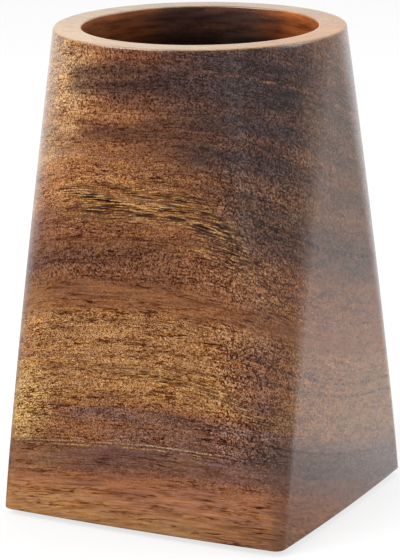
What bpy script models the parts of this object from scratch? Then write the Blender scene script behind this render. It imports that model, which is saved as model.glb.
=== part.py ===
"""Wooden pen holder: a block that is square at the foot and round at the rim.

The body is bored right through. A wooden disc let into a rebate from below closes the bore and
makes the floor of the cup, and four felt feet are stuck to the underside.
Lengths are in metres, +Z is up, and the origin is on the desk under the middle of the cup.
"""

import math

import bmesh
import bpy
import numpy as np

# Body
BODY_HEIGHT = 0.100
BASE_WIDTH = 0.0648
BASE_DEPTH = 0.0608
BASE_CORNER_RADIUS = 0.0020
SIDE_BOW = 0.0007
BORE_DIAMETER = 0.0488
RIM_WALL = 0.00575
EDGE_RADIUS = 0.0004
BORE_EDGE_RADIUS = 0.0004

# The sides lean in a little later than a straight ruled side would: height share to this power
LEAN_POWER = 1.10

# Floor disc and the ledge that it seats against
FLOOR_THICKNESS = 0.0080
FLOOR_LEDGE = 0.0015
FLOOR_CHAMFER = 0.0004

# Felt feet, far enough in to stay out of sight behind the foot's edge
FELT_DIAMETER = 0.0080
FELT_THICKNESS = 0.0010
FELT_INSET = 0.0100
FELT_EDGE_RADIUS = 0.0002

# Clearance between glued neighbours
FIT_GAP = 0.0003

# Facets: points in an eighth of a section, sections up a side and over an edge, sides of a turning
EIGHTH_STEPS = 12
SIDE_STEPS = 22
EDGE_STEPS = 3
TURN_STEPS = 96
FELT_SIDES = 32

RIM_RADIUS = BORE_DIAMETER / 2 + RIM_WALL
REBATE_RADIUS = BORE_DIAMETER / 2 + FLOOR_LEDGE
REBATE_DEPTH = FLOOR_THICKNESS + 2 * FIT_GAP
BODY_FOOT = FELT_THICKNESS + FIT_GAP


def make_material(name, colour, roughness):
    """Returns a Principled material of one colour."""
    material = bpy.data.materials.new(name)
    material.use_nodes = True
    shader = material.node_tree.nodes["Principled BSDF"]
    shader.inputs["Base Color"].default_value = (*colour, 1.0)
    shader.inputs["Roughness"].default_value = roughness
    shader.inputs["Metallic"].default_value = 0.0
    return material


def place(name, mesh, collection, parent, location=(0.0, 0.0, 0.0)):
    """Makes one named piece from a mesh and hangs it on the part's empty."""
    piece = bpy.data.objects.new(name, mesh)
    piece.location = location
    piece.parent = parent
    collection.objects.link(piece)
    return piece


def eighth(side_half, corner):
    """Walks a side from its middle to the middle of the corner arc.

    The steps crowd towards the corner. Returns the distance along the side and the distance in
    from the side's plane, at each step.
    """
    flat = side_half - corner
    share = np.sin(np.linspace(0.0, math.pi / 2, EIGHTH_STEPS + 1))
    walked = share * (flat + corner * math.pi / 4)
    turned = np.maximum(walked - flat, 0.0) / corner
    along = np.minimum(walked, flat) + corner * np.sin(turned)
    inward = corner * (1.0 - np.cos(turned))
    return along, inward


def section(height, half_width, half_depth, corner, bow):
    """Returns one closed section: a rectangle with round corners, its sides bowed out a little.

    With both halves equal to the corner radius it is a circle with the same number of points.
    """
    side_y, side_in = eighth(half_depth, corner)
    front_x, front_in = eighth(half_width, corner)
    side_x = half_width - side_in
    front_y = half_depth - front_in
    first = np.concatenate((np.stack((side_x[:-1], side_y[:-1]), 1),
                            np.stack((front_x[:0:-1], front_y[:0:-1]), 1)))
    second = np.concatenate((np.stack((-front_x[:-1], front_y[:-1]), 1),
                             np.stack((-side_x[:0:-1], side_y[:0:-1]), 1)))
    flat = np.concatenate((first, second, -first, -second))
    reach = flat / (half_width, half_depth)
    flat = flat + bow * reach * (1.0 - reach[:, ::-1] ** 2)
    return np.column_stack((flat, np.full(len(flat), height)))


def circle(height, radius):
    """Returns a round section."""
    return section(height, radius, radius, radius, 0.0)


def outer_section(share, height, inset=0.0):
    """Returns the outside at a share of the height, 0 square foot to 1 round rim, drawn in by inset."""
    lean = share ** LEAN_POWER
    half_width = BASE_WIDTH / 2 + (RIM_RADIUS - BASE_WIDTH / 2) * lean
    half_depth = BASE_DEPTH / 2 + (RIM_RADIUS - BASE_DEPTH / 2) * lean
    corner = BASE_CORNER_RADIUS + (RIM_RADIUS - BASE_CORNER_RADIUS) * lean
    corner = min(corner, half_width, half_depth)
    bow = SIDE_BOW * (1.0 - lean)
    return section(height, half_width - inset, half_depth - inset, corner - inset, bow)


def body_sections():
    """Returns the sections in order: out under the foot, up the outside, over the rim, down the bore."""
    turns = np.linspace(0.0, math.pi / 2, EDGE_STEPS + 1)
    top = BODY_FOOT + BODY_HEIGHT
    ledge = BODY_FOOT + REBATE_DEPTH
    foot_share = EDGE_RADIUS / BODY_HEIGHT

    sections = [circle(BODY_FOOT, REBATE_RADIUS)]
    for turn in turns[:-1]:
        rise = EDGE_RADIUS * (1.0 - math.cos(turn))
        sections.append(outer_section(0.0, BODY_FOOT + rise, EDGE_RADIUS * (1.0 - math.sin(turn))))
    for share in np.linspace(foot_share, 1.0 - foot_share, SIDE_STEPS):
        sections.append(outer_section(share, BODY_FOOT + share * BODY_HEIGHT))
    for turn in turns[1:]:
        drop = EDGE_RADIUS * (1.0 - math.sin(turn))
        sections.append(circle(top - drop, RIM_RADIUS - EDGE_RADIUS * (1.0 - math.cos(turn))))
    for turn in turns:
        drop = BORE_EDGE_RADIUS * (1.0 - math.cos(turn))
        sections.append(circle(top - drop, BORE_DIAMETER / 2 + BORE_EDGE_RADIUS * (1.0 - math.sin(turn))))
    sections.append(circle(ledge, BORE_DIAMETER / 2))
    sections.append(circle(ledge, REBATE_RADIUS))
    return sections


def loft_ring(sections):
    """Joins each section to the next with faces, and the last to the first: a closed ring."""
    mesh = bpy.data.meshes.new("body")
    loft = bmesh.new()
    rows = [[loft.verts.new(point) for point in points] for points in sections]
    for row, following in zip(rows, rows[1:] + rows[:1]):
        for index, vertex in enumerate(row):
            beside = (index + 1) % len(row)
            loft.faces.new((vertex, row[beside], following[beside], following[index]))
    bmesh.ops.recalc_face_normals(loft, faces=loft.faces)
    loft.to_mesh(mesh)
    loft.free()
    return mesh


def turned_disc(radius, thickness, chamfer):
    """Returns half a disc's outline in the XZ plane, top to bottom, to be turned about Z."""
    outline = ((0.0, thickness), (radius - chamfer, thickness), (radius, thickness - chamfer),
               (radius, chamfer), (radius - chamfer, 0.0), (0.0, 0.0))
    mesh = bpy.data.meshes.new("floor_disc")
    mesh.from_pydata([(x, 0.0, z) for x, z in outline], [(i, i + 1) for i in range(len(outline) - 1)], [])
    return mesh


def turn(piece):
    """Turns a piece's outline once round Z."""
    screw = piece.modifiers.new("turning", "SCREW")
    screw.steps = TURN_STEPS
    screw.render_steps = TURN_STEPS
    screw.use_merge_vertices = True
    screw.merge_threshold = 0.00001
    screw.use_smooth_shade = False


def felt_mesh():
    """Returns one felt foot, standing on its origin."""
    mesh = bpy.data.meshes.new("felt_foot")
    dot = bmesh.new()
    bmesh.ops.create_cone(dot, cap_ends=True, segments=FELT_SIDES, radius1=FELT_DIAMETER / 2,
                          radius2=FELT_DIAMETER / 2, depth=FELT_THICKNESS)
    bmesh.ops.translate(dot, verts=dot.verts, vec=(0.0, 0.0, FELT_THICKNESS / 2))
    dot.to_mesh(mesh)
    dot.free()
    return mesh


def soften(piece):
    """Rounds the rim edges of a felt foot."""
    bevel = piece.modifiers.new("pressed_edge", "BEVEL")
    bevel.width = FELT_EDGE_RADIUS
    bevel.segments = 2
    bevel.limit_method = "ANGLE"
    bevel.angle_limit = math.radians(60.0)


def shade(mesh):
    """Shades the round faces smooth and keeps the real edges sharp."""
    mesh.shade_smooth()
    mesh.set_sharp_from_angle(angle=math.radians(35.0))


def build():
    """Builds the pen holder."""
    for leftover in list(bpy.data.objects):
        bpy.data.objects.remove(leftover, do_unlink=True)
    collection = bpy.data.collections.new("pen_holder")
    bpy.context.scene.collection.children.link(collection)
    desk_point = bpy.data.objects.new("desk_point", None)
    collection.objects.link(desk_point)

    acacia = make_material("acacia_oiled", (0.36, 0.16, 0.06), 0.42)
    floor_acacia = make_material("acacia_floor", (0.22, 0.09, 0.035), 0.5)
    felt = make_material("wool_felt_charcoal", (0.03, 0.028, 0.027), 0.95)

    body_mesh = loft_ring(body_sections())
    body_mesh.materials.append(acacia)
    shade(body_mesh)
    place("body", body_mesh, collection, desk_point)

    disc_mesh = turned_disc(REBATE_RADIUS - FIT_GAP, FLOOR_THICKNESS, FLOOR_CHAMFER)
    disc_mesh.materials.append(floor_acacia)
    turn(place("floor_disc", disc_mesh, collection, desk_point, (0.0, 0.0, BODY_FOOT + FIT_GAP)))

    foot_mesh = felt_mesh()
    foot_mesh.materials.append(felt)
    shade(foot_mesh)
    foot_x = BASE_WIDTH / 2 - FELT_INSET
    foot_y = BASE_DEPTH / 2 - FELT_INSET
    corners = (("front_left", -1, -1), ("front_right", 1, -1), ("back_right", 1, 1), ("back_left", -1, 1))
    for corner, side_x, side_y in corners:
        foot_point = (side_x * foot_x, side_y * foot_y, 0.0)
        soften(place(f"felt_foot_{corner}", foot_mesh, collection, desk_point, foot_point))


build()
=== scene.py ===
"""Looks of a wooden pen holder: one acacia block, square at the foot and round at the rim, bored for pens.

Shapes are surfaces of two parameters worked out as whole arrays, in metres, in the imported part's frame.
The wood is one solid pattern of growth layers, so every face, the rim and the bore cut through the same
block.
"""
import logging
import math
from dataclasses import dataclass
from enum import Enum
from typing import Any

import bpy
import numpy as np
from mathutils import Matrix, Vector


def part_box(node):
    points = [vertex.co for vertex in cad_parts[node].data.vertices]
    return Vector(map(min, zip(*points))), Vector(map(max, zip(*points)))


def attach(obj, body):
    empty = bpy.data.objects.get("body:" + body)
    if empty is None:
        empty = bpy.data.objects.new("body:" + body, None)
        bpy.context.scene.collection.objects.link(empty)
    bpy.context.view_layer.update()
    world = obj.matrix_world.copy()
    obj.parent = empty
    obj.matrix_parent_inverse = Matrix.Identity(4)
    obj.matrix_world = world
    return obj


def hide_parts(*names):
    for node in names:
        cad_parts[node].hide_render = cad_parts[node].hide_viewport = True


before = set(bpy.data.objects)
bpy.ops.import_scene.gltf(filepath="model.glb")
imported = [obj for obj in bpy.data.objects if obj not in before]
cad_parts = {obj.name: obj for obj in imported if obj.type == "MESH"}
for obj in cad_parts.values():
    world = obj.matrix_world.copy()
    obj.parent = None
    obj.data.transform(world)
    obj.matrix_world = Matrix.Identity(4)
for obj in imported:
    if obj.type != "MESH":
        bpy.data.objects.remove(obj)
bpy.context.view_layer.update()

log = logging.getLogger("pen_holder")

Tree = bpy.types.NodeTree
Socket = bpy.types.NodeSocket
Sockets = bpy.types.NodeOutputs
Range = tuple[float, float]
Triple = tuple[float, float, float]

ROOT = "root"
MM = 0.001
PHOTO_HEIGHT_PX = 560
NOISE_ROUGHNESS = 0.55
LAYER_CORE = 0.25
WHITE = "#FFFFFF"


class Tone(Enum):
    """Tones of the heartwood, from pale bands to mineral streaks and the darkest lines of the veins, and of
    painted light.
    """

    # CREAM and APRICOT also pale the rim, partly as a painted reflection
    CREAM = "#E2C498"
    WHEAT = "#CBA266"
    APRICOT = "#E0A45E"
    SAND = "#C49C70"
    ROSE = "#A86D54"
    STRAW = "#BC8A58"
    HONEY = "#AA794C"
    HAZEL = "#A87247"
    AMBER = "#956240"
    CHESTNUT = "#804F38"
    # RUSSET is painted light: the bright red of the wall of the bore where the lamps reach it
    RUSSET = "#B06130"
    UMBER = "#6D4633"
    PLUM = "#7A5A51"
    SMOKE = "#443230"
    INK = "#20140E"


def linear(hex_colour: str) -> tuple[float, float, float, float]:
    """Turns an sRGB hex colour into linear RGBA.

    Args:
        hex_colour: Six hex digits, with or without a leading hash.

    Returns:
        Linear red, green and blue, and an alpha of 1.
    """
    digits = hex_colour.lstrip("#")
    channels = [int(digits[i:i + 2], 16) / 255.0 for i in (0, 2, 4)]
    red, green, blue = (c / 12.92 if c <= 0.04045 else ((c + 0.055) / 1.055) ** 2.4 for c in channels)
    return red, green, blue, 1.0


def add(tree: Tree, kind: str, inputs: dict[Any, Any] | None = None, **settings: Any) -> Sockets:
    """Adds one shader node with its settings and links.

    Args:
        tree: The node tree that gets the node.
        kind: The node's type name, without the leading ShaderNode.
        inputs: Socket name or number to a value, or to the output socket that is linked to it.
        settings: Properties of the node itself.

    Returns:
        The new node's outputs.
    """
    node = tree.nodes.new("ShaderNode" + kind)
    for name, value in settings.items():
        setattr(node, name, value)
    for key, value in (inputs or {}).items():
        if isinstance(value, Socket):
            tree.links.new(value, node.inputs[key])
        else:
            node.inputs[key].default_value = value
    return node.outputs


def sized_noise(tree: Tree, place: Socket, size_mm: Triple, detail: float) -> Socket:
    """Makes a noise of a real size.

    Args:
        tree: The material's node tree.
        place: Coordinates in mm.
        size_mm: The noise's size along each of them.
        detail: Number of finer octaves.

    Returns:
        A value about 0.5 on average.
    """
    cell = add(tree, "Mapping", {"Vector": place, "Scale": tuple(1 / size for size in size_mm)})[0]
    return add(tree, "TexNoise", {"Vector": cell, "Scale": 1.0, "Detail": detail,
                                  "Roughness": NOISE_ROUGHNESS})["Fac"]


def layer_mask(tree: Tree, layer: Socket, middle_mm: float, half_width_mm: float, strength: float) -> Socket:
    """Picks out one layer: the strength over its core, falling smoothly to 0 at its half width.

    Args:
        tree: The material's node tree.
        layer: Layer height in mm.
        middle_mm: The layer's middle.
        half_width_mm: How far it reaches to each side.
        strength: The mask's greatest value.

    Returns:
        The mask.
    """
    off = add(tree, "Math", {0: layer, 1: middle_mm}, operation="SUBTRACT")[0]
    off = add(tree, "Math", {0: off}, operation="ABSOLUTE")[0]
    return add(tree, "MapRange", {"Value": off, "From Min": half_width_mm,
                                  "From Max": LAYER_CORE * half_width_mm, "To Max": strength},
               interpolation_type="SMOOTHSTEP")[0]


def lay(tree: Tree, colour: Socket, tone: Tone, *masks: Socket) -> Socket:
    """Lays a tone over a colour.

    Args:
        tree: The material's node tree.
        colour: The colour below.
        tone: The tone on top.
        masks: Values whose product is the tone's share.

    Returns:
        The mixed colour.
    """
    share = masks[0]
    for mask in masks[1:]:
        share = add(tree, "Math", {0: share, 1: mask}, operation="MULTIPLY")[0]
    return add(tree, "Mix", {"Factor": share, "A": colour, "B": linear(tone.value)},
               data_type="RGBA")["Result"]


def grid_mesh(name: str, points: np.ndarray, close_rows: bool) -> bpy.types.Object:
    """Makes a piece from a grid of points that closes round each row.

    Args:
        name: The piece's name.
        points: Rows of points, shape (rows, around, 3).
        close_rows: Whether the last row joins the first. If not, the first and last rows are capped.

    Returns:
        The new object, smooth shaded, with its place in its mesh.
    """
    rows, around = points.shape[:2]
    row = np.arange(rows if close_rows else rows - 1)[:, None]
    step = np.arange(around)[None, :]
    here = row * around + step
    beside = row * around + (step + 1) % around
    above = (row + 1) % rows * around + step
    above_beside = (row + 1) % rows * around + (step + 1) % around
    quads = np.stack((here, beside, above_beside, above), -1).reshape(-1, 4)
    faces = quads.tolist()
    if not close_rows:
        faces.append(np.arange(around)[::-1].tolist())
        faces.append((np.arange(around) + (rows - 1) * around).tolist())
    mesh = bpy.data.meshes.new(name)
    mesh.from_pydata(points.reshape(-1, 3), [], faces)
    mesh.shade_smooth()
    piece = bpy.data.objects.new(name, mesh)
    bpy.context.scene.collection.objects.link(piece)
    return piece


def arc(steps: int) -> np.ndarray:
    """Returns a quarter turn in even steps, ends included."""
    return np.linspace(0.0, math.pi / 2, steps + 1)


@dataclass(frozen=True)
class Mottle:
    """A noise of a real size: as it goes from start to end of its range, the value goes from low to high."""

    size_mm: Triple
    start: float
    end: float
    low: float = 0.0
    high: float = 1.0
    detail: float = 2.0

    def build(self, tree: Tree, place: Socket) -> Socket:
        """Makes the noise and maps it.

        Args:
            tree: The material's node tree.
            place: Coordinates in mm.

        Returns:
            The value.
        """
        noise = sized_noise(tree, place, self.size_mm, self.detail)
        return add(tree, "MapRange", {"Value": noise, "From Min": self.start, "From Max": self.end,
                                      "To Min": self.low, "To Max": self.high})[0]


@dataclass(frozen=True)
class Bend:
    """A change in how the layers lie near one height: added to the arch, the tilt and the slope there."""

    height_mm: float
    reach_mm: float
    arch_per_mm: float = 0.0
    tilt: float = 0.0
    slope: float = 0.0


@dataclass(frozen=True)
class Streak:
    """A streak of another tone that follows one layer from one place along the fibre.

    It runs towards +X and fades in over fade_mm to each side of that place, or towards -X where fade_mm is
    negative.
    """

    layer_mm: float
    half_width_mm: float
    from_x_mm: float
    strength: float
    tone: Tone
    fade_mm: float = 7.0


@dataclass(frozen=True)
class GrowthLayers:
    """How the growth layers lie in the block, and their tones.

    A layer is named by its height in mm at the middle of the front face. The streaks are cloudy, and the
    fine lines are broken into dashes. The tint clouds multiply the colour where a soft noise passes from the
    first to the second of two values.
    """

    front_mm: float = -30.0
    slope: Range = (0.44, -0.0023)
    tilt: float = -0.03
    arch_per_mm: float = 0.0032
    bends: tuple[Bend, ...] = (Bend(101.0, 45.0, -0.0065, 0.0, 0.12), Bend(0.0, 34.0, -0.0027, -0.03))
    drift_mm: Triple = (45.0, 18.0, 18.0)
    warp_mm: float = 1.6
    layers: tuple[tuple[float, Tone], ...] = (
        (0.0, Tone.HONEY), (4.0, Tone.HONEY), (11.0, Tone.AMBER), (15.0, Tone.CHESTNUT),
        (18.0, Tone.CHESTNUT), (21.0, Tone.AMBER), (27.0, Tone.AMBER), (30.0, Tone.HONEY),
        (45.5, Tone.HONEY), (49.0, Tone.AMBER), (67.0, Tone.AMBER), (72.0, Tone.HAZEL),
        (77.0, Tone.HAZEL), (79.5, Tone.AMBER), (86.0, Tone.AMBER), (89.0, Tone.HAZEL),
        (99.0, Tone.HAZEL), (106.0, Tone.AMBER), (125.0, Tone.CHESTNUT),
    )
    streaks: tuple[Streak, ...] = (
        Streak(95.0, 15.5, -7.0, 0.95, Tone.CHESTNUT, 8.0),
        Streak(87.0, 11.0, 9.0, 0.6, Tone.UMBER, 6.0),
        Streak(94.0, 18.0, -11.5, 0.82, Tone.SAND, -5.0),
        Streak(57.5, 10.0, 14.0, 0.62, Tone.UMBER, -8.0),
        Streak(48.0, 8.0, -21.0, 0.45, Tone.STRAW, -5.0),
        Streak(77.0, 9.0, 6.0, 0.42, Tone.CHESTNUT, 12.0),
        Streak(82.0, 6.0, 12.0, 0.55, Tone.SMOKE, 5.0),
        Streak(66.0, 4.0, -7.0, 0.45, Tone.CHESTNUT, -6.0),
        Streak(80.0, 4.0, -17.0, 0.7, Tone.SAND, -4.0),
        Streak(93.0, 27.0, 7.0, 1.0, Tone.SMOKE, 15.0),
        Streak(91.5, 3.0, -6.0, 0.5, Tone.UMBER, 5.0),
        Streak(94.6, 5.2, -15.5, 0.8, Tone.SMOKE, 3.0),
        Streak(84.0, 2.6, -12.5, 0.9, Tone.UMBER, 2.5),
        Streak(84.2, 1.2, -10.0, 0.15, Tone.SMOKE, 3.0),
        Streak(87.6, 2.2, 1.0, 0.5, Tone.HAZEL, -5.0),
        Streak(88.0, 34.0, 29.2, 0.26, Tone.HONEY, 1.6),
        # The SMOKE streak at layer 119 is partly painted shade: it darkens the back wall of the bore left of
        # x = 8 mm, where the lamps reach little; on the back face it is a smoky streak of the wood.
        Streak(119.0, 9.0, 8.0, 0.75, Tone.SMOKE, -7.0),
        Streak(58.6, 3.0, 4.0, 0.28, Tone.SMOKE, -9.0),
        Streak(69.0, 9.0, 18.5, 0.75, Tone.SMOKE, 5.0),
        Streak(40.0, 8.0, 10.0, 0.2, Tone.AMBER, 8.0),
        Streak(34.5, 4.5, -5.0, 0.5, Tone.STRAW, 5.0),
        Streak(38.0, 15.0, 20.5, 0.85, Tone.CHESTNUT, 6.0),
        Streak(30.0, 5.0, 24.0, 0.35, Tone.SMOKE, 4.0),
        Streak(36.0, 17.0, 30.2, 0.55, Tone.HONEY, 1.5),
        Streak(59.0, 8.0, 29.5, 0.35, Tone.CHESTNUT, 2.0),
        Streak(28.0, 13.0, -24.0, 1.0, Tone.WHEAT, -4.0),
        Streak(27.0, 6.0, -20.0, 0.6, Tone.WHEAT, -4.0),
        Streak(25.6, 2.2, -16.0, 0.75, Tone.PLUM, 3.0),
        Streak(20.5, 5.5, -5.0, 0.65, Tone.PLUM, 8.0),
        Streak(16.0, 4.8, -60.0, 0.68, Tone.PLUM),
        Streak(21.0, 5.5, 22.5, 0.6, Tone.SMOKE, 5.0),
        Streak(8.0, 6.5, -60.0, 0.65, Tone.ROSE),
        Streak(4.0, 9.0, -9.0, 0.7, Tone.STRAW, -12.0),
        Streak(15.0, 5.0, -19.0, 0.4, Tone.HONEY, -6.0),
        Streak(19.4, 0.26, 20.0, 0.34, Tone.CREAM, -9.0),
        Streak(0.8, 5.0, 17.0, 0.7, Tone.CHESTNUT, 8.0),
        Streak(4.0, 12.0, 30.6, 0.45, Tone.UMBER, 1.2),
    )
    lines: tuple[Streak, ...] = (
        Streak(97.6, 0.6, 19.0, 0.5, Tone.ROSE, 4.0),
        Streak(19.0, 0.3, 28.0, 0.6, Tone.UMBER, -5.0),
        Streak(18.6, 0.26, 26.0, 0.5, Tone.WHEAT, -6.0),
        Streak(20.2, 0.3, -4.0, 0.5, Tone.WHEAT, -8.0),
        Streak(110.0, 0.6, 24.0, 0.5, Tone.CHESTNUT, 3.0),
        Streak(95.6, 0.5, 25.0, 0.8, Tone.INK, 3.0),
        Streak(88.4, 0.4, 26.0, 0.45, Tone.SMOKE, 3.0),
        Streak(80.3, 0.4, 26.0, 0.45, Tone.SMOKE, 3.0),
        Streak(69.5, 0.8, 26.0, 1.0, Tone.INK, 3.0),
        Streak(60.0, 0.8, 26.0, 0.8, Tone.UMBER, 3.0),
        Streak(41.5, 0.5, 28.0, 0.9, Tone.INK, 2.0),
        Streak(38.3, 0.5, 28.0, 0.8, Tone.INK, 2.0),
        Streak(23.6, 0.6, 28.0, 0.9, Tone.INK, 2.0),
    )
    streak_cloud: Mottle = Mottle((12.0, 2.2, 6.0), 0.3, 0.65, 0.8, detail=4.0)
    line_dashes: Mottle = Mottle((3.0, 0.9, 1.6), 0.40, 0.60)
    tint_cloud_mm: Triple = (10.0, 1.5, 6.0)
    tint_clouds: tuple[tuple[float, float, Triple], ...] = (
        (0.52, 0.75, (1.28, 1.22, 0.95)),
        (0.48, 0.25, (0.68, 0.64, 0.72)),
    )

    def coordinates(self, tree: Tree, point: Socket) -> Socket:
        """Works out where a point lies in the wood.

        The layer is z + back * slope + (arch * x + tilt) * x, where back is the way behind the front face
        and the slope lessens with it. So a layer falls towards the back and arches down towards both ends of
        the fibre, or up near the rim, where a bend turns the arch round. A slow drift moves the point first.

        Args:
            tree: The material's node tree.
            point: Object coordinates in mm.

        Returns:
            A vector of x along the fibre, the layer and the way back, in mm.
        """
        drift = sized_noise(tree, point, self.drift_mm, 2.0).node.outputs["Color"]
        centred = add(tree, "VectorMath", {0: drift, 1: (0.5,) * 3}, operation="SUBTRACT")[0]
        moved = add(tree, "VectorMath", {0: centred, 1: (self.warp_mm,) * 3, 2: point},
                    operation="MULTIPLY_ADD")[0]
        parts = add(tree, "SeparateXYZ", {0: moved})
        back = add(tree, "Math", {0: parts["Y"], 1: self.front_mm}, operation="SUBTRACT")[0]
        slope = add(tree, "Math", {0: back, 1: self.slope[1], 2: self.slope[0]}, operation="MULTIPLY_ADD")[0]
        lie: list[Any] = [self.arch_per_mm, self.tilt, slope]
        for bend in self.bends:
            near = layer_mask(tree, parts["Z"], bend.height_mm, bend.reach_mm, 1.0)
            for i, change in enumerate((bend.arch_per_mm, bend.tilt, bend.slope)):
                lie[i] = add(tree, "Math", {0: near, 1: change, 2: lie[i]}, operation="MULTIPLY_ADD")[0]
        arch, tilt, slope = lie
        layer = add(tree, "Math", {0: back, 1: slope, 2: parts["Z"]}, operation="MULTIPLY_ADD")[0]
        across = add(tree, "Math", {0: arch, 1: parts["X"], 2: tilt}, operation="MULTIPLY_ADD")[0]
        layer = add(tree, "Math", {0: across, 1: parts["X"], 2: layer}, operation="MULTIPLY_ADD")[0]
        return add(tree, "CombineXYZ", {"X": parts["X"], "Y": layer, "Z": back})[0]

    def colour(self, tree: Tree, wood: Socket, parts: Sockets) -> Socket:
        """Colours the layers, lays the streaks and lines over them and tints all in soft clouds.

        Args:
            tree: The material's node tree.
            wood: Wood coordinates in mm.
            parts: The same, separated.

        Returns:
            The colour.
        """
        colour = self._ramp(tree, parts["Y"])
        for streaks, mottle in ((self.streaks, self.streak_cloud), (self.lines, self.line_dashes)):
            broken = mottle.build(tree, wood)
            for streak in streaks:
                mask = layer_mask(tree, parts["Y"], streak.layer_mm, streak.half_width_mm, streak.strength)
                start, full = streak.from_x_mm - streak.fade_mm, streak.from_x_mm + streak.fade_mm
                end = add(tree, "MapRange", {"Value": parts["X"], "From Min": start, "From Max": full},
                          interpolation_type="SMOOTHSTEP")[0]
                colour = lay(tree, colour, streak.tone, mask, end, broken)
        tint = sized_noise(tree, wood, self.tint_cloud_mm, 2.0)
        for start, end, gain in self.tint_clouds:
            mask = add(tree, "MapRange", {"Value": tint, "From Min": start, "From Max": end})[0]
            colour = add(tree, "Mix", {"Factor": mask, "A": colour, "B": (*gain, 1.0)}, data_type="RGBA",
                         blend_type="MULTIPLY")["Result"]
        return colour

    def _ramp(self, tree: Tree, layer: Socket) -> Socket:
        """Colours the layers by their height.

        Args:
            tree: The material's node tree.
            layer: Layer height in mm.

        Returns:
            The colour.
        """
        low, high = self.layers[0][0], self.layers[-1][0]
        share = add(tree, "MapRange", {"Value": layer, "From Min": low, "From Max": high})[0]
        colour = add(tree, "ValToRGB", {"Fac": share})["Color"]
        ramp = colour.node.color_ramp
        ramp.interpolation = "EASE"
        while len(ramp.elements) < len(self.layers):
            ramp.elements.new(1.0)
        for stop, (height, tone) in zip(ramp.elements, self.layers):
            stop.position = (height - low) / (high - low)
            stop.color = linear(tone.value)
        return colour


@dataclass(frozen=True)
class Vein:
    """A band of fine lines: its layer, half width and strength, and where along X it fades in and out.

    It follows the bend of the vein's ends by the share bend.
    """

    layer_mm: float
    half_width_mm: float
    strength: float
    fade_in_mm: Range
    fade_out_mm: Range
    bend: float = 1.0


@dataclass(frozen=True)
class VeinFigure:
    """The rich veins: bands of layers with fine dark and pale lines, which bend down at both their ends.

    Each end is a side, where along X its bend starts, and how much it bends per mm. A line lies where a
    noise drawn out along the fibre passes from the first to the second of two values.
    """

    veins: tuple[Vein, ...] = (
        Vein(69.8, 5.6, 1.0, (-20.0, -11.0), (28.0, 19.0)),
        Vein(66.0, 8.0, 0.5, (8.0, 18.0), (31.0, 26.0), 0.7),
        Vein(34.8, 3.0, 0.62, (-10.0, 1.0), (28.0, 23.0), 0.35),
    )
    ends: tuple[Triple, ...] = ((1.0, 8.0, 0.034), (-1.0, 12.0, 0.025))
    line_mm: Triple = (3.4, 0.21, 1.0)
    line_bend: float = 0.16
    lines: tuple[tuple[float, float, Tone], ...] = ((0.485, 0.545, Tone.INK), (0.465, 0.36, Tone.WHEAT))
    clumps: Mottle = Mottle((9.0, 2.0, 4.0), 0.34, 0.52, 0.4)

    def zones(self, tree: Tree, parts: Sockets) -> tuple[Socket, Socket]:
        """Works out where the veins lie: past each end's start, the layer rises by bend * distance squared.

        Args:
            tree: The material's node tree.
            parts: Wood coordinates in mm, separated.

        Returns:
            The wood coordinates with the layer a little bent, and the strength of the veins.
        """
        layer = parts["Y"]
        for side, start, bend in self.ends:
            past = add(tree, "Math", {0: parts["X"], 1: side, 2: -start}, operation="MULTIPLY_ADD")[0]
            past = add(tree, "Math", {0: past, 1: 0.0}, operation="MAXIMUM")[0]
            past = add(tree, "Math", {0: past, 1: past}, operation="MULTIPLY")[0]
            layer = add(tree, "Math", {0: past, 1: bend, 2: layer}, operation="MULTIPLY_ADD")[0]
        lines = add(tree, "Mix", {"Factor": self.line_bend, "A": parts["Y"], "B": layer},
                    data_type="FLOAT")[0]
        bent = add(tree, "CombineXYZ", {"X": parts["X"], "Y": lines, "Z": parts["Z"]})[0]
        clump = self.clumps.build(tree, bent)
        zones: Any = 0.0
        for vein in self.veins:
            follows = add(tree, "Mix", {"Factor": vein.bend, "A": parts["Y"], "B": layer},
                          data_type="FLOAT")[0]
            zone = layer_mask(tree, follows, vein.layer_mm, vein.half_width_mm, vein.strength)
            for none, full in (vein.fade_in_mm, vein.fade_out_mm):
                end = add(tree, "MapRange", {"Value": parts["X"], "From Min": none, "From Max": full},
                          interpolation_type="SMOOTHSTEP")[0]
                zone = add(tree, "Math", {0: zone, 1: end}, operation="MULTIPLY")[0]
            zones = add(tree, "Math", {0: zone, 1: zones}, operation="MAXIMUM")[0]
        return bent, add(tree, "Math", {0: zones, 1: clump}, operation="MULTIPLY")[0]

    def colour(self, tree: Tree, colour: Socket, bent: Socket, zones: Socket) -> Socket:
        """Draws the fine lines of the veins.

        Args:
            tree: The material's node tree.
            colour: The colour below.
            bent: Wood coordinates in mm, bent with the veins.
            zones: The veins' strength.

        Returns:
            The colour with the veins.
        """
        noise = sized_noise(tree, bent, self.line_mm, 2.0)
        for start, end, tone in self.lines:
            line = add(tree, "MapRange", {"Value": noise, "From Min": start, "From Max": end})[0]
            colour = lay(tree, colour, tone, line, zones)
        return colour


@dataclass(frozen=True)
class Bundles:
    """Small bundles of fibres, each of its own even brightness: their size and the depth of contrast."""

    size_mm: Triple
    depth: float

    def build(self, tree: Tree, wood: Socket) -> Socket:
        """Cuts the block up into cells of one bundle each and gives every cell its brightness.

        Args:
            tree: The material's node tree.
            wood: Wood coordinates in mm.

        Returns:
            A brightness, 1 on average.
        """
        cell = add(tree, "Mapping", {"Vector": wood, "Scale": tuple(1 / size for size in self.size_mm)})[0]
        cells = add(tree, "TexVoronoi", {"Vector": cell, "Scale": 1.0})["Color"]
        value = add(tree, "SeparateXYZ", {0: cells})["X"]
        return add(tree, "MapRange", {"Value": value, "To Min": 1 - self.depth, "To Max": 1 + self.depth})[0]


@dataclass(frozen=True)
class PoreKind:
    """Vessels cut open, as dashes: where a noise of the given size passes from one limit to the other.

    A gain below 1 darkens the wood there, as an open pore does, and one above 1 makes a bright fleck.
    The dashes gather in some layers: where the crowd noise is below the first crowd value there are none.
    """

    size_mm: Triple
    limits: Range
    gain: float
    crowd: Range = (0.30, 0.60)


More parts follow.
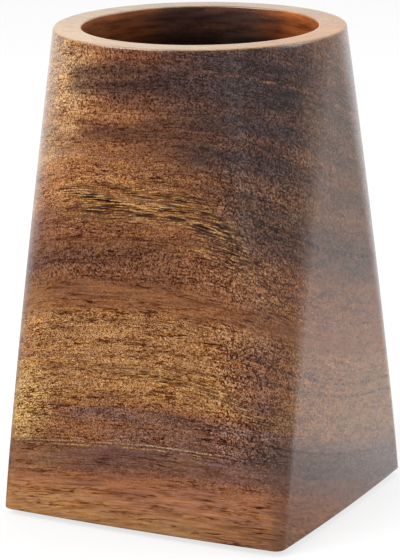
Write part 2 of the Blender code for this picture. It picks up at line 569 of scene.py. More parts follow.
@dataclass(frozen=True)
class FineGrain:
    """The fine light and dark of the wood: waves of grain, bundles of fibres, pores and flecks.

    Real pores are 0.1 to 0.2 mm wide and bundles of fibres finer still. Both are drawn coarser, about 0.2 to
    0.35 mm wide, or the picture would lose them. The bundles are dots, rounder in the smoky layers and
    towards the front corner, and drawn out into lines in the layers where the fibre runs along the face.
    A row of layers is a middle, a half width and a strength.
    """

    waves: tuple[Mottle, ...] = (
        Mottle((40.0, 1.0, 14.0), 0.25, 0.75, 0.86, 1.14, 3.0),
        Mottle((4.0, 0.40, 2.0), 0.25, 0.75, 0.8, 1.2),
    )
    dotted: Bundles = Bundles((0.20, 0.17, 0.20), 0.92)
    rounded: Bundles = Bundles((0.25, 0.30, 0.25), 0.95)
    rounded_layers_mm: tuple[Triple, ...] = ((57.5, 7.0, 0.9), (98.0, 24.0, 0.9))
    rounded_calm: float = 0.6
    drawn: Mottle = Mottle((6.0, 0.36, 2.0), 0.35, 0.65, 0.86, 1.14, 1.0)
    drawn_layers_mm: tuple[Triple, ...] = ((5.0, 13.0, 0.95), (15.5, 5.0, 0.6), (50.5, 4.5, 0.6))
    drawn_in_veins: float = 0.45
    drawn_calm: float = 0.7
    pores: tuple[PoreKind, ...] = (
        PoreKind((0.9, 0.26, 0.8), (0.40, 0.30), 1.5),
        PoreKind((0.45, 0.26, 0.6), (0.60, 0.70), 0.5),
        PoreKind((1.4, 0.28, 1.1), (0.59, 0.66), 0.22, (0.38, 0.54)),
        PoreKind((2.4, 0.32, 1.6), (0.60, 0.67), 0.28, (0.44, 0.58)),
        PoreKind((4.2, 0.34, 2.0), (0.57, 0.65), 0.40),
    )
    long_pore_mm: float = 2.0
    crowd_mm: Triple = (16.0, 2.2, 10.0)
    end_grain_mm: Range = (28.0, 31.5)
    end_grain_calm: float = 0.33
    end_grain_shade: float = 0.9
    corner_mm: Range = (8.0, 20.0)
    corner_power: float = 1.3
    darkest: float = 0.05

    def shade(self, tree: Tree, wood: Socket, parts: Sockets, zones: Socket) -> Socket:
        """Multiplies waves, bundles and pores into one shade, about 1 on average.

        Near the ends of the fibre, where the end grain shows, the contrast is less, and towards the front
        corner it is more.

        Args:
            tree: The material's node tree.
            wood: Wood coordinates in mm.
            parts: The same, separated.
            zones: The veins' strength.

        Returns:
            A brightness.
        """
        start, end = self.corner_mm
        corner = add(tree, "MapRange", {"Value": parts["X"], "From Min": start, "From Max": end})[0]
        veins = add(tree, "Math", {0: zones, 1: self.drawn_in_veins}, operation="MULTIPLY")[0]
        along = self._any_layer(tree, parts["Y"], self.drawn_layers_mm, veins)
        round_dots = self._any_layer(tree, parts["Y"], self.rounded_layers_mm, corner)
        shade = add(tree, "Mix", {"Factor": round_dots, "A": self.dotted.build(tree, wood),
                                  "B": self.rounded.build(tree, wood)}, data_type="FLOAT")[0]
        shade = add(tree, "Mix", {"Factor": along, "A": shade, "B": self.drawn.build(tree, wood)},
                    data_type="FLOAT")[0]
        calm = add(tree, "Math", {0: along, 1: self.drawn_calm}, operation="MULTIPLY")[0]
        calm_dots = add(tree, "Math", {0: round_dots, 1: self.rounded_calm}, operation="MULTIPLY")[0]
        calm = add(tree, "Math", {0: calm, 1: calm_dots}, operation="MAXIMUM")[0]
        waves = [wave.build(tree, wood) for wave in self.waves]
        for wave in waves + self._pore_shades(tree, wood, calm):
            shade = add(tree, "Math", {0: shade, 1: wave}, operation="MULTIPLY")[0]
        reach = add(tree, "Math", {0: parts["X"]}, operation="ABSOLUTE")[0]
        start, end = self.end_grain_mm
        calm = add(tree, "MapRange", {"Value": reach, "From Min": start, "From Max": end,
                                      "To Max": self.end_grain_calm})[0]
        shade = add(tree, "Mix", {"Factor": calm, "A": shade, "B": self.end_grain_shade},
                    data_type="FLOAT")[0]
        shade = add(tree, "Math", {0: shade, 1: self.darkest}, operation="MAXIMUM")[0]
        power = add(tree, "MapRange", {"Value": corner, "To Min": 1.0, "To Max": self.corner_power})[0]
        return add(tree, "Math", {0: shade, 1: power}, operation="POWER")[0]

    @staticmethod
    def _any_layer(tree: Tree, layer: Socket, rows: tuple[Triple, ...], least: Socket) -> Socket:
        """Picks out several layers at once.

        Args:
            tree: The material's node tree.
            layer: Layer height in mm.
            rows: Each layer's middle, half width and strength.
            least: A mask that holds where it is greater.

        Returns:
            The greatest of the masks.
        """
        for row in rows:
            least = add(tree, "Math", {0: least, 1: layer_mask(tree, layer, *row)}, operation="MAXIMUM")[0]
        return least

    def _pore_shades(self, tree: Tree, wood: Socket, calm: Socket) -> list[Socket]:
        """Scatters the pores: dashes where a noise drawn out along the fibre is high, in the crowded layers.

        Args:
            tree: The material's node tree.
            wood: Wood coordinates in mm.
            calm: By how much the shorter kinds are held back.

        Returns:
            One brightness for each kind of pore, 1 between the dashes.
        """
        shades = []
        crowd = sized_noise(tree, wood, self.crowd_mm, 2.0)
        for kind in self.pores:
            none, full = kind.crowd
            many = add(tree, "MapRange", {"Value": crowd, "From Min": none, "From Max": full})[0]
            dash = Mottle(kind.size_mm, *kind.limits, detail=1.0).build(tree, wood)
            mask = add(tree, "Math", {0: dash, 1: many}, operation="MULTIPLY")[0]
            shade = add(tree, "MapRange", {"Value": mask, "To Min": 1.0, "To Max": kind.gain})[0]
            if kind.size_mm[0] <= self.long_pore_mm:
                shade = add(tree, "Mix", {"Factor": calm, "A": shade, "B": 1.0}, data_type="FLOAT")[0]
            shades.append(shade)
        return shades


@dataclass(frozen=True)
class BoreAndRim:
    """The cut faces: the wall of the bore, with painted light and shade, and the flat of the rim.

    The wall is painted darker as painted shade, from its first to its second depth under the rim, and the
    painted shade grows less further down. Towards both ends of the fibre, where the lamps reach the wall, it
    is painted bright red as painted light, by a share that grows from the first to the second x, and there
    the painted shade takes a red tint. A dark band lies just under the rim on the rest of the wall: its
    depth, half width and strength. The flat of the rim is pale, partly from sanding across the fibre and
    partly as a painted reflection of the white surroundings. The masks of the wall and the flat grow from
    none to full over two small margins.
    """

    rim_mm: float = 101.3
    bore_radius_mm: float = 24.4
    wall_mm: Range = (0.5, 0.2)
    flat_mm: Range = (0.35, 0.05)
    # painted shade of the bore: depths under the rim, tint, depths where it lessens, and its least share
    painted_shade_mm: Range = (0.5, 7.0)
    painted_shade_tint: Triple = (0.12, 0.15, 0.18)
    painted_shade_fades_mm: Range = (14.0, 45.0)
    painted_shade_least: float = 0.45
    # painted light of the bore: where along X it starts and is full, and its share; then its tint under the
    # painted shade
    painted_light_mm: tuple[Triple, ...] = ((-3.0, 14.0, 0.95), (-16.0, -23.0, 0.55))
    painted_light_tint: Triple = (0.22, 0.08, 0.01)
    band_mm: Triple = (2.2, 1.6, 0.7)
    wall_mottle: Mottle = Mottle((8.0, 8.0, 1.2), 0.3, 0.7, 0.45, 1.55, 3.0)
    pale_lines: Mottle = Mottle((18.0, 0.35, 1.0), 0.35, 0.65, 0.30, 0.64)
    pale_back_mm: Range = (35.0, 52.0)
    pale_back_share: float = 0.7
    pale_end_mm: Range = (8.0, 25.0)

    def masks(self, tree: Tree, point: Socket) -> tuple[Socket, Socket]:
        """Finds the wall of the bore and the flat of the rim.

        Args:
            tree: The material's node tree.
            point: Object coordinates in mm.

        Returns:
            Two masks, 1 on the wall of the bore and 1 on the rim.
        """
        level = add(tree, "VectorMath", {0: point, 1: (1.0, 1.0, 0.0)}, operation="MULTIPLY")[0]
        reach = add(tree, "VectorMath", {0: level}, operation="LENGTH")["Value"]
        inside = add(tree, "MapRange", {"Value": reach, "From Min": self.bore_radius_mm + self.wall_mm[0],
                                        "From Max": self.bore_radius_mm + self.wall_mm[1]})[0]
        height = add(tree, "SeparateXYZ", {0: point})["Z"]
        rim = add(tree, "MapRange", {"Value": height, "From Min": self.rim_mm - self.flat_mm[0],
                                     "From Max": self.rim_mm - self.flat_mm[1]})[0]
        return inside, rim

    def bore_colour(self, tree: Tree, colour: Socket, point: Socket, inside: Socket) -> Socket:
        """Colours the wall of the bore, with painted light and painted shade.

        Args:
            tree: The material's node tree.
            colour: The colour outside.
            point: Object coordinates in mm.
            inside: 1 on the wall of the bore.

        Returns:
            The colour with the bore.
        """
        parts = add(tree, "SeparateXYZ", {0: point})
        # painted light: towards both ends of the fibre, where the lamps reach the wall, it is painted bright
        # red
        painted_light: Any = 0.0
        for none, full, share in self.painted_light_mm:
            end = add(tree, "MapRange", {"Value": parts["X"], "From Min": none, "From Max": full,
                                         "To Max": share}, interpolation_type="SMOOTHSTEP")[0]
            painted_light = add(tree, "Math", {0: end, 1: painted_light}, operation="MAXIMUM")[0]
        red = add(tree, "Math", {0: inside, 1: painted_light}, operation="MULTIPLY")[0]
        colour = lay(tree, colour, Tone.RUSSET, red)
        # a dark band just under the rim, on the wall apart from its painted red
        depth, half_width, strength = self.band_mm
        band = layer_mask(tree, parts["Z"], self.rim_mm - depth, half_width, strength)
        brown = add(tree, "Math", {0: inside, 1: red}, operation="SUBTRACT")[0]
        colour = lay(tree, colour, Tone.SMOKE, brown, band)
        # painted shade: the wall darkens with depth under the rim, less so further down, red-tinted under
        # the painted light
        start, end = self.painted_shade_mm
        painted_shade = add(tree, "MapRange", {"Value": parts["Z"], "From Min": self.rim_mm - start,
                                     "From Max": self.rim_mm - end})[0]
        start, end = self.painted_shade_fades_mm
        less = add(tree, "MapRange", {"Value": parts["Z"], "From Min": self.rim_mm - start,
                                      "From Max": self.rim_mm - end, "To Min": 1.0,
                                      "To Max": self.painted_shade_least})[0]
        painted_shade = add(tree, "Math", {0: painted_shade, 1: less}, operation="MULTIPLY")[0]
        painted_shade = add(tree, "Math", {0: inside, 1: painted_shade}, operation="MULTIPLY")[0]
        tint = add(tree, "Mix", {"Factor": painted_light, "A": (*self.painted_shade_tint, 1.0), "B": (*self.painted_light_tint, 1.0)},
                   data_type="RGBA")["Result"]
        colour = add(tree, "Mix", {"Factor": painted_shade, "A": colour, "B": tint}, data_type="RGBA",
                     blend_type="MULTIPLY")["Result"]
        mottle = add(tree, "Mix", {"Factor": inside, "A": 1.0, "B": self.wall_mottle.build(tree, point)},
                     data_type="FLOAT")[0]
        return add(tree, "VectorMath", {0: colour, "Scale": mottle}, operation="SCALE")[0]

    def rim_colour(self, tree: Tree, colour: Socket, wood: Socket, rim: Socket) -> tuple[Socket, Socket]:
        """Pales the flat of the rim along fine lines, less towards the back and warmer at the +X end: partly
        the sanded face and partly a painted reflection of the white surroundings.

        Args:
            tree: The material's node tree.
            colour: The colour below.
            wood: Wood coordinates in mm.
            rim: 1 on the rim.

        Returns:
            The colour with the rim, and the share of the pale tone.
        """
        parts = add(tree, "SeparateXYZ", {0: wood})
        # the pale tone is partly the sanded face and partly a painted reflection of the white surroundings
        lines = self.pale_lines.build(tree, wood)
        start, end = self.pale_back_mm
        less = add(tree, "MapRange", {"Value": parts["Z"], "From Min": start, "From Max": end, "To Min": 1.0,
                                      "To Max": self.pale_back_share})[0]
        share = add(tree, "Math", {0: lines, 1: less}, operation="MULTIPLY")[0]
        share = add(tree, "Math", {0: share, 1: rim}, operation="MULTIPLY")[0]
        start, end = self.pale_end_mm
        warm = add(tree, "MapRange", {"Value": parts["X"], "From Min": start, "From Max": end})[0]
        tone = add(tree, "Mix", {"Factor": warm, "A": linear(Tone.CREAM.value),
                                 "B": linear(Tone.APRICOT.value)}, data_type="RGBA")["Result"]
        colour = add(tree, "Mix", {"Factor": share, "A": colour, "B": tone}, data_type="RGBA")["Result"]
        return colour, share


@dataclass(frozen=True)
class AcaciaFinish:
    """Acacia heartwood, sawn, sanded and oiled to a semi-gloss.

    The eye gets golden and smoky growth layers, dark pores and pale flecks as short dashes along the fibre,
    a rippled vein, and a soft white sheen of the oiled film at grazing angles. The fine shade darkens and
    lightens each channel by its own power, so the pores turn red-brown and the flecks turn pale. It is
    calmer in the bore and on the rim, by two shares.
    """

    name: str = "acacia_heartwood_sanded_and_oiled"
    growth: GrowthLayers = GrowthLayers()
    vein: VeinFigure = VeinFigure()
    grain: FineGrain = FineGrain()
    faces: BoreAndRim = BoreAndRim()
    calm_share: Range = (0.6, 0.5)
    dark_power: Triple = (0.90, 1.45, 2.60)
    light_power: Triple = (0.80, 1.05, 1.35)
    roughness: float = 0.24
    roughness_swing: float = 0.05
    shade_range: Range = (0.6, 1.4)
    pale_roughness: float = 0.4
    bump_strength: float = 0.12
    bump_mm: float = 0.05
    ior: float = 1.5
    film: float = 0.42
    film_roughness: float = 0.2

    def build(self) -> bpy.types.Material:
        """Builds the material.

        Returns:
            A Principled wood whose colour, roughness and bump are functions of Object coordinates.
        """
        material = bpy.data.materials.new(self.name)
        material.use_nodes = True
        tree = material.node_tree
        tree.nodes.clear()
        place = add(tree, "TexCoord")["Object"]
        point = add(tree, "Mapping", {"Vector": place, "Scale": (1 / MM,) * 3})[0]
        wood = self.growth.coordinates(tree, point)
        parts = add(tree, "SeparateXYZ", {0: wood})
        bent, zones = self.vein.zones(tree, parts)
        inside, rim = self.faces.masks(tree, point)
        shade = self.grain.shade(tree, wood, parts, zones)
        for mask, share in zip((inside, rim), self.calm_share):
            calm = add(tree, "Math", {0: mask, 1: share}, operation="MULTIPLY")[0]
            shade = add(tree, "Mix", {"Factor": calm, "A": shade, "B": 1.0}, data_type="FLOAT")[0]
        colour = self.growth.colour(tree, wood, parts)
        colour = self.vein.colour(tree, colour, bent, zones)
        for side, power in (("MINIMUM", self.dark_power), ("MAXIMUM", self.light_power)):
            part = add(tree, "Math", {0: shade, 1: 1.0}, operation=side)[0]
            gain = add(tree, "VectorMath", {0: part, 1: power}, operation="POWER")[0]
            colour = add(tree, "VectorMath", {0: colour, 1: gain}, operation="MULTIPLY")[0]
        # the bore gets painted light and painted shade, and the rim a pale tone that is partly a painted
        # reflection
        colour = self.faces.bore_colour(tree, colour, point, inside)
        colour, pale = self.faces.rim_colour(tree, colour, wood, rim)
        dark, light = self.shade_range
        rough = add(tree, "MapRange", {"Value": shade, "From Min": dark, "From Max": light,
                                       "To Min": self.roughness + self.roughness_swing,
                                       "To Max": self.roughness - self.roughness_swing})[0]
        rough = add(tree, "Math", {0: pale, 1: self.pale_roughness, 2: rough}, operation="MULTIPLY_ADD")[0]
        bump = add(tree, "Bump", {"Strength": self.bump_strength, "Distance": self.bump_mm * MM,
                                  "Height": shade})[0]
        surface = add(tree, "BsdfPrincipled",
                      {"Base Color": colour, "Roughness": rough, "IOR": self.ior, "Normal": bump,
                       "Coat Weight": self.film, "Coat Roughness": self.film_roughness,
                       "Coat IOR": self.ior})[0]
        add(tree, "OutputMaterial", {"Surface": surface})
        return material


@dataclass(frozen=True)
class FeltFinish:
    """Pressed wool felt, die cut: a matt charcoal mat of short fibres, seen as a dark, soft mottle.

    Wool is about 0.03 mm thick. The fibres are drawn as coarser tufts, so that they show.
    """

    name: str = "wool_felt_pressed"
    tuft_mm: float = 0.25
    tuft_detail: float = 4.0
    tuft_roughness: float = 0.7
    tones: tuple[tuple[float, str], ...] = ((0.3, "#1C1A19"), (0.75, "#4A4643"))
    bump_strength: float = 0.8
    bump_mm: float = 0.1
    roughness: float = 0.95
    sheen: float = 0.3

    def build(self) -> bpy.types.Material:
        """Builds the material.

        Returns:
            Mottled charcoal with a fibrous bump and a weak sheen.
        """
        material = bpy.data.materials.new(self.name)
        material.use_nodes = True
        tree = material.node_tree
        tree.nodes.clear()
        place = add(tree, "TexCoord")["Object"]
        cell = add(tree, "Mapping", {"Vector": place, "Scale": (1 / (self.tuft_mm * MM),) * 3})[0]
        fuzz = add(tree, "TexNoise", {"Vector": cell, "Scale": 1.0, "Detail": self.tuft_detail,
                                      "Roughness": self.tuft_roughness})["Fac"]
        colour = add(tree, "ValToRGB", {"Fac": fuzz})["Color"]
        for stop, (position, tone) in zip(colour.node.color_ramp.elements, self.tones):
            stop.position = position
            stop.color = linear(tone)
        bump = add(tree, "Bump", {"Strength": self.bump_strength, "Distance": self.bump_mm * MM,
                                  "Height": fuzz})[0]
        surface = add(tree, "BsdfPrincipled", {"Base Color": colour, "Roughness": self.roughness,
                                               "Sheen Weight": self.sheen, "Normal": bump})[0]
        add(tree, "OutputMaterial", {"Surface": surface})
        return material


@dataclass
class PenBody:
    """The acacia block: a foot with four corners lofted to a round rim, bored through and rebated below."""

    foot_width: float = 64.8 * MM
    foot_depth: float = 60.8 * MM
    corner_radius: float = 2.0 * MM
    side_bow: float = 0.7 * MM
    bore_radius: float = 24.4 * MM
    rim_wall: float = 5.75 * MM
    edge_radius: float = 0.4 * MM
    ledge: float = 1.5 * MM
    lean_power: float = 1.10
    eighth_steps: int = 40
    side_steps: int = 130
    edge_steps: int = 5
    bore_steps: int = 60
    rim_steps: int = 7
    ledge_steps: int = 3
    rebate_steps: int = 8
    under_steps: int = 5

    def build(self, finish: AcaciaFinish) -> bpy.types.Object:
        """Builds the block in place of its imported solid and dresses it.

        Args:
            finish: The wood.

        Returns:
            The finished piece.
        """
        piece = grid_mesh("pen_body", self._surface(), close_rows=True)
        piece.data.materials.append(finish.build())
        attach(piece, ROOT)
        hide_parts("body")
        return piece

    def _surface(self) -> np.ndarray:
        """Walks once round the block: up the side from the foot, over the rim, down the bore and back out.

        Each row is a rectangle with round corners. Its half sizes run from the foot's to the rim's radius by
        the share of the height to lean_power, and so does its corner radius, so the last rows are circles.

        Returns:
            Points, shape (rows, around, 3).
        """
        low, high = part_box("body")
        foot, top = low.z, high.z
        ledge_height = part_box("floor_disc")[1].z
        rim = self.bore_radius + self.rim_wall
        rebate = self.bore_radius + self.ledge
        edge = self.edge_radius
        turn = arc(self.edge_steps)

        side = np.linspace(edge / (top - foot), 1 - edge / (top - foot), self.side_steps)
        share = np.concatenate((np.zeros(self.edge_steps), side))
        inset = np.concatenate((edge * (1 - np.sin(turn[:-1])), np.zeros(self.side_steps)))
        height = np.concatenate((foot + edge * (1 - np.cos(turn[:-1])), foot + side * (top - foot)))
        lean = share ** self.lean_power
        half_width = self.foot_width / 2 + (rim - self.foot_width / 2) * lean - inset
        half_depth = self.foot_depth / 2 + (rim - self.foot_depth / 2) * lean - inset
        corner = self.corner_radius + (rim - self.corner_radius) * lean - inset
        corner = np.minimum(corner, np.minimum(half_width, half_depth))
        bow = self.side_bow * (1 - lean)

        ring_radius = np.concatenate((
            rim - edge * (1 - np.cos(turn[1:])),
            np.linspace(rim - edge, self.bore_radius + edge, self.rim_steps + 1)[1:-1],
            self.bore_radius + edge * (1 - np.sin(turn)),
            np.full(self.bore_steps, self.bore_radius),
            np.linspace(self.bore_radius, rebate, self.ledge_steps + 1)[1:],
            np.full(self.rebate_steps, rebate),
            np.linspace(rebate, self.foot_depth / 2 - edge, self.under_steps + 1)[1:-1]))
        ring_height = np.concatenate((
            top - edge * (1 - np.sin(turn[1:])),
            np.full(self.rim_steps - 1, top),
            top - edge * (1 - np.cos(turn)),
            np.linspace(top - edge, ledge_height, self.bore_steps + 1)[1:],
            np.full(self.ledge_steps, ledge_height),
            np.linspace(ledge_height, foot, self.rebate_steps + 1)[1:],
            np.full(self.under_steps - 1, foot)))
        return self._sections(np.concatenate((height, ring_height)),
                              np.concatenate((half_width, ring_radius)),
                              np.concatenate((half_depth, ring_radius)),
                              np.concatenate((corner, ring_radius)),
                              np.concatenate((bow, np.zeros(len(ring_radius)))))

    def _sections(self, height: np.ndarray, half_width: np.ndarray, half_depth: np.ndarray,
                  corner: np.ndarray, bow: np.ndarray) -> np.ndarray:
        """Draws one closed section for each row.

        Along an eighth of a section the walk is (flat + corner * pi / 4) times the sine of an even quarter
        turn, so steps crowd to the corner. On the flat the point moves along the side, and past it round the
        arc. The sides then bow out by bow * reach * (1 - other reach squared).

        Args:
            height: Height of each row.
            half_width: Half width of each row.
            half_depth: Half depth of each row.
            corner: Corner radius of each row.
            bow: Outward bow at the middle of the sides.

        Returns:
            Points, shape (rows, around, 3).
        """
        share = np.sin(arc(self.eighth_steps))
        eighths = []
        for half in (half_depth, half_width):
            flat = (half - corner)[:, None]
            walked = share * (flat + corner[:, None] * math.pi / 4)
            turned = np.maximum(walked - flat, 0.0) / corner[:, None]
            along = np.minimum(walked, flat) + corner[:, None] * np.sin(turned)
            eighths.append((along, corner[:, None] * (1 - np.cos(turned))))
        (side_y, side_in), (front_x, front_in) = eighths
        side = np.stack((half_width[:, None] - side_in, side_y), -1)
        front = np.stack((front_x, half_depth[:, None] - front_in), -1)
        mirror = np.array((-1.0, 1.0))
        first = np.concatenate((side[:, :-1], front[:, :0:-1]), 1)
        second = np.concatenate((front[:, :-1], side[:, :0:-1]), 1) * mirror
        outline = np.concatenate((first, second, -first, -second), 1)
        reach = outline / np.stack((half_width, half_depth), -1)[:, None, :]
        outline = outline + bow[:, None, None] * reach * (1 - reach[:, :, ::-1] ** 2)
        heights = np.broadcast_to(height[:, None, None], outline.shape[:2] + (1,))
        return np.concatenate((outline, heights), -1)


@dataclass(frozen=True)
class RoundPlate:
    """The outline of a flat round plate with rounded edges, from the middle below to the middle above.

    The caps at its two ends close what the hub, a share of the radius, leaves open.
    """

    edge_radius: float
    hub: float
    flat_steps: int
    edge_steps: int

    def outline(self, radius: float, low: float, high: float) -> tuple[np.ndarray, np.ndarray]:
        """Walks out along the bottom, up round both edges and back in along the top.

        Args:
            radius: The plate's radius.
            low: Height of its bottom.
            high: Height of its top.

        Returns:
            The radius and the height of each row.
        """
        edge = self.edge_radius
        turn = arc(self.edge_steps)
        flat = np.linspace(self.hub, 1.0, self.flat_steps + 1)[:-1] * (radius - edge)
        radii = np.concatenate((flat, radius - edge * (1 - np.sin(turn)), radius - edge * (1 - np.cos(turn)),
                                flat[::-1]))
        heights = np.concatenate((np.full(self.flat_steps, low), low + edge * (1 - np.cos(turn)),
                                  high - edge * (1 - np.sin(turn)), np.full(self.flat_steps, high)))
        return radii, heights


@dataclass
class CupFloor:
    """The wooden disc that closes the bore: flat faces with a small round-over."""

    plate: RoundPlate = RoundPlate(0.5 * MM, 0.02, 11, 5)
    around: int = 192

    def build(self, finish: AcaciaFinish) -> bpy.types.Object:
        """Turns the disc's outline round the bore's axis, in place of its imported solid, and dresses it.

        Args:
            finish: The wood.

        Returns:
            The finished piece.
        """
        low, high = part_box("floor_disc")
        radii, heights = self.plate.outline((high.x - low.x) / 2, low.z, high.z)
        angle = np.linspace(0.0, 2 * math.pi, self.around, endpoint=False)
        points = np.stack((radii[:, None] * np.cos(angle), radii[:, None] * np.sin(angle),
                           np.broadcast_to(heights[:, None], (len(radii), self.around))), -1)
        piece = grid_mesh("cup_floor", points, close_rows=False)
        piece.data.materials.append(finish.build())
        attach(piece, ROOT)
        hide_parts("floor_disc")
        return piece


@dataclass
class FeltFeet:
    """Four die-cut felt dots under the foot, pressed thin at the rim."""

    nodes: tuple[str, ...] = ("felt_foot_front_left", "felt_foot_front_right",
                              "felt_foot_back_right", "felt_foot_back_left")
    plate: RoundPlate = RoundPlate(0.3 * MM, 0.05, 5, 4)
    around: int = 96
    ragged: float = 0.006
    ragged_waves: tuple[int, int] = (13, 29)

    def build(self, finish: FeltFinish) -> list[bpy.types.Object]:
        """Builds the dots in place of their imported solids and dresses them.

        Args:
            finish: The felt.

        Returns:
            The finished pieces.
        """
        material = finish.build()
        pieces = []
        for node in self.nodes:
            piece = grid_mesh(node.replace("foot", "dot"), self._surface(node), close_rows=False)
            piece.data.materials.append(material)
            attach(piece, ROOT)
            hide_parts(node)
            pieces.append(piece)
        return pieces

    def _surface(self, node: str) -> np.ndarray:
        """Turns a dot's outline round its own axis, less a cut edge that is ragged by two sines multiplied.

        Args:
            node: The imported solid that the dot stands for.

        Returns:
            Points, shape (rows, around, 3).
        """
        low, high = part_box(node)
        centre = (low + high) / 2
        radii, heights = self.plate.outline((high.x - low.x) / 2, low.z, high.z)
        angle = np.linspace(0.0, 2 * math.pi, self.around, endpoint=False)
        slow, fast = self.ragged_waves
        reach = radii[:, None] * (1 - self.ragged * (1 + np.sin(slow * angle) * np.sin(fast * angle)))
        return np.stack((centre.x + reach * np.cos(angle), centre.y + reach * np.sin(angle),
                         np.broadcast_to(heights[:, None], reach.shape)), -1)


@dataclass(frozen=True)
class SoftLamp:
    """A square soft lamp that faces the middle of the object."""

    name: str
    azimuth_deg: float
    elevation_deg: float
    distance: float
    size: float
    watts: float


@dataclass(frozen=True)
class FloorFade:
    """How bright the floor looks in reflections at one side.

    It counts where the direction's X passes from the first to the second side value, and goes from the near
    to the far brightness over the given distances.
    """

    side: Range
    reach: Range
    near: float
    far: float


@dataclass
class Studio:
    """The camera at the photograph's view, a white sweep below and behind, and soft lamps."""

    azimuth_deg: float = 27.2187
    elevation_deg: float = 14.5255
    roll_deg: float = -0.6899
    distance: float = 596.19 * MM
    focal_px: float = 2837.24
    aim_right: float = -0.609 * MM
    aim_height: float = 47.10 * MM
    sensor_mm: float = 36.0
    clip: Range = (0.01, 100.0)
    floor_size: float = 6.0
    floor_grey: str = "#B8B8B8"
    floor_glow: float = 0.72
    floor_sweep: Range = (-0.05, 0.018)
    floor_least: float = 0.08
    floor_fades: tuple[FloorFade, ...] = (
        FloorFade((-0.1, -0.4), (0.10, 0.42), 0.5, 1.0),
        FloorFade((0.1, 0.45), (0.10, 0.34), 1.0, 0.6),
    )
    world_sweep: Range = (-0.05, 0.45)
    world_least: float = 0.25
    left_facing: Range = (0.45, 0.95)
    left_least: float = 0.2
    left_side: Range = (0.0, -0.2)
    right_side: Range = (0.2, 0.7)
    right_glow: float = 0.35
    lamps: tuple[SoftLamp, ...] = (
        SoftLamp("key_left", -34.0, 38.0, 1.0, 0.8, 11.8),
        SoftLamp("top_soft", 170.0, 72.0, 1.1, 0.7, 3.0),
        SoftLamp("right_soft", 115.0, 30.0, 1.1, 0.6, 4.4),
        SoftLamp("corner_sheen", 48.0, 8.0, 1.0, 0.25, 0.06),
    )

    def build(self) -> None:
        """Sets the view, then builds the camera, the sweep and the lamps."""
        bpy.context.scene.view_settings.view_transform = "Standard"
        self._camera()
        self._floor()
        self._world()
        for lamp in self.lamps:
            self._hang(lamp)

    @staticmethod
    def _direction(azimuth_deg: float, elevation_deg: float) -> Vector:
        """Finds a direction from the object.

        Args:
            azimuth_deg: 0 towards -Y and positive towards +X.
            elevation_deg: Angle above the floor.

        Returns:
            The unit direction.
        """
        azimuth, elevation = math.radians(azimuth_deg), math.radians(elevation_deg)
        return Vector((math.sin(azimuth) * math.cos(elevation), -math.cos(azimuth) * math.cos(elevation),
                       math.sin(elevation)))

    def _camera(self) -> None:
        """Places the camera on its sight line, rolled as the photograph is."""
        azimuth, roll = math.radians(self.azimuth_deg), math.radians(self.roll_deg)
        back = self._direction(self.azimuth_deg, self.elevation_deg)
        level = Vector((math.cos(azimuth), math.sin(azimuth), 0.0))
        rise = back.cross(level)
        right = math.cos(roll) * level + math.sin(roll) * rise
        up = -math.sin(roll) * level + math.cos(roll) * rise
        eye = self.aim_right * level + Vector((0.0, 0.0, self.aim_height)) + back * self.distance
        data = bpy.data.cameras.new("photo_view")
        data.sensor_fit = "VERTICAL"
        data.sensor_height = self.sensor_mm
        data.lens = self.focal_px * self.sensor_mm / PHOTO_HEIGHT_PX
        data.clip_start, data.clip_end = self.clip
        camera = bpy.data.objects.new("photo_view", data)
        turn = Matrix((right, up, back)).transposed().to_4x4()
        camera.matrix_world = Matrix.Translation(eye) @ turn
        bpy.context.scene.collection.objects.link(camera)
        bpy.context.scene.camera = camera

    def _floor(self) -> None:
        """Lays a plain pale floor.

        To the camera it is near white, apart from the shadow. To reflections it is the sweep, white behind
        the object and dim in front. To other light it is plain grey paper.
        """
        half = self.floor_size / 2
        mesh = bpy.data.meshes.new("floor")
        corners = [(-half, -half, 0.0), (half, -half, 0.0), (half, half, 0.0), (-half, half, 0.0)]
        mesh.from_pydata(corners, [], [(0, 1, 2, 3)])
        floor = bpy.data.objects.new("floor", mesh)
        bpy.context.scene.collection.objects.link(floor)
        material = bpy.data.materials.new("paper_sweep_white")
        material.use_nodes = True
        material.cycles.emission_sampling = "NONE"
        tree = material.node_tree
        tree.nodes.clear()
        place = add(tree, "TexCoord")["Object"]
        towards = add(tree, "VectorMath", {0: place}, operation="NORMALIZE")[0]
        fade = self._fade(tree, place, towards)
        sweep = self._sweep(tree, place, towards, self.floor_sweep, self.floor_least, fade)
        path = add(tree, "LightPath")
        glossy = add(tree, "Math", {0: path["Is Glossy Ray"], 1: path["Is Transmission Ray"]},
                     operation="MAXIMUM")[0]
        glow = add(tree, "Emission", {"Color": linear(WHITE), "Strength": sweep})[0]
        grey = add(tree, "BsdfDiffuse", {"Color": linear(self.floor_grey)})[0]
        unseen = add(tree, "MixShader", {0: glossy, 1: grey, 2: glow})[0]
        paper = add(tree, "BsdfDiffuse", {"Color": linear(WHITE)})[0]
        white = add(tree, "Emission", {"Color": linear(WHITE), "Strength": 1.0})[0]
        seen = add(tree, "MixShader", {0: self.floor_glow, 1: paper, 2: white})[0]
        mixed = add(tree, "MixShader", {0: path["Is Camera Ray"], 1: unseen, 2: seen})[0]
        add(tree, "OutputMaterial", {"Surface": mixed})
        mesh.materials.append(material)

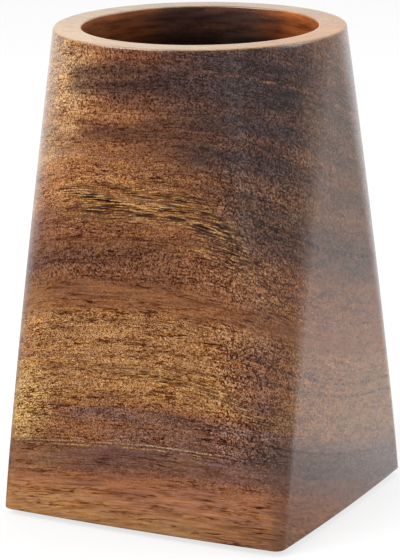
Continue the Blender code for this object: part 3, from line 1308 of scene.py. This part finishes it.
    def _fade(self, tree: Tree, place: Socket, towards: Socket) -> Socket:
        """Dims the floor at its sides.

        Args:
            tree: The floor's node tree.
            place: Object coordinates.
            towards: Unit direction from the object.

        Returns:
            A factor, 1 straight ahead and behind.
        """
        away = add(tree, "VectorMath", {0: place}, operation="LENGTH")["Value"]
        side = add(tree, "SeparateXYZ", {0: towards})["X"]
        factor: Any = 1.0
        for fade in self.floor_fades:
            none, full = fade.side
            there = add(tree, "MapRange", {"Value": side, "From Min": none, "From Max": full})[0]
            start, end = fade.reach
            dim = add(tree, "MapRange", {"Value": away, "From Min": start, "From Max": end,
                                         "To Min": fade.near, "To Max": fade.far})[0]
            dim = add(tree, "Mix", {"Factor": there, "A": 1.0, "B": dim}, data_type="FLOAT")[0]
            factor = add(tree, "Math", {0: dim, 1: factor}, operation="MULTIPLY")[0]
        return factor

    def _sweep(self, tree: Tree, place: Socket, towards: Socket, span: Range, least: float,
               factor: Any) -> Socket:
        """Finds how bright the sweep is: white behind the object, dim in front and softly lit at the right.

        At the left it ends sooner than at the right.

        Args:
            tree: The node tree of the floor or the world.
            place: What is measured along the sight line: a place on the floor, or a direction.
            towards: Unit direction from the object.
            span: Where along the sight line the sweep starts and is full.
            least: Its brightness in front.
            factor: A further factor on it.

        Returns:
            The brightness.
        """
        behind = -self._direction(self.azimuth_deg, 0.0)
        reach = add(tree, "VectorMath", {0: place, 1: behind}, operation="DOT_PRODUCT")["Value"]
        sweep = add(tree, "MapRange", {"Value": reach, "From Min": span[0], "From Max": span[1],
                                       "To Min": least})[0]
        facing = add(tree, "VectorMath", {0: towards, 1: behind}, operation="DOT_PRODUCT")["Value"]
        narrow = add(tree, "MapRange", {"Value": facing, "From Min": self.left_facing[0],
                                        "From Max": self.left_facing[1], "To Min": self.left_least})[0]
        side = add(tree, "SeparateXYZ", {0: towards})["X"]
        left = add(tree, "MapRange", {"Value": side, "From Min": self.left_side[0],
                                      "From Max": self.left_side[1]})[0]
        narrow = add(tree, "Mix", {"Factor": left, "A": 1.0, "B": narrow}, data_type="FLOAT")[0]
        for share in (factor, narrow):
            sweep = add(tree, "Math", {0: sweep, 1: share}, operation="MULTIPLY")[0]
        right = add(tree, "MapRange", {"Value": side, "From Min": self.right_side[0],
                                       "From Max": self.right_side[1], "To Max": self.right_glow})[0]
        return add(tree, "Math", {0: sweep, 1: right}, operation="MAXIMUM")[0]

    def _world(self) -> None:
        """Makes the surroundings: white to the camera, and otherwise the sweep."""
        world = bpy.data.worlds.new("studio")
        bpy.context.scene.world = world
        world.use_nodes = True
        tree = world.node_tree
        tree.nodes.clear()
        towards = add(tree, "TexCoord")["Generated"]
        sweep = self._sweep(tree, towards, towards, self.world_sweep, self.world_least, 1.0)
        seen = add(tree, "LightPath")["Is Camera Ray"]
        strength = add(tree, "Mix", {"Factor": seen, "A": sweep, "B": 1.0}, data_type="FLOAT")[0]
        light = add(tree, "Background", {"Color": linear(WHITE), "Strength": strength})[0]
        add(tree, "OutputWorld", {"Surface": light})

    def _hang(self, soft: SoftLamp) -> None:
        """Hangs one lamp.

        Args:
            soft: Where the lamp hangs, its size and its power.
        """
        data = bpy.data.lights.new(soft.name, "AREA")
        data.shape = "SQUARE"
        data.size = soft.size
        data.energy = soft.watts
        lamp = bpy.data.objects.new(soft.name, data)
        towards = self._direction(soft.azimuth_deg, soft.elevation_deg)
        lamp.location = Vector((0.0, 0.0, self.aim_height)) + towards * soft.distance
        lamp.rotation_euler = towards.to_track_quat("Z", "Y").to_euler()
        bpy.context.scene.collection.objects.link(lamp)


def main() -> None:
    """Builds the pen holder and its studio."""
    logging.basicConfig(level=logging.INFO)
    Studio().build()
    wood = AcaciaFinish()
    pieces = [PenBody().build(wood), CupFloor().build(wood), *FeltFeet().build(FeltFinish())]
    for piece in pieces:
        log.info("%s: %d faces", piece.name, len(piece.data.polygons))


if __name__ == "__main__":
    main()
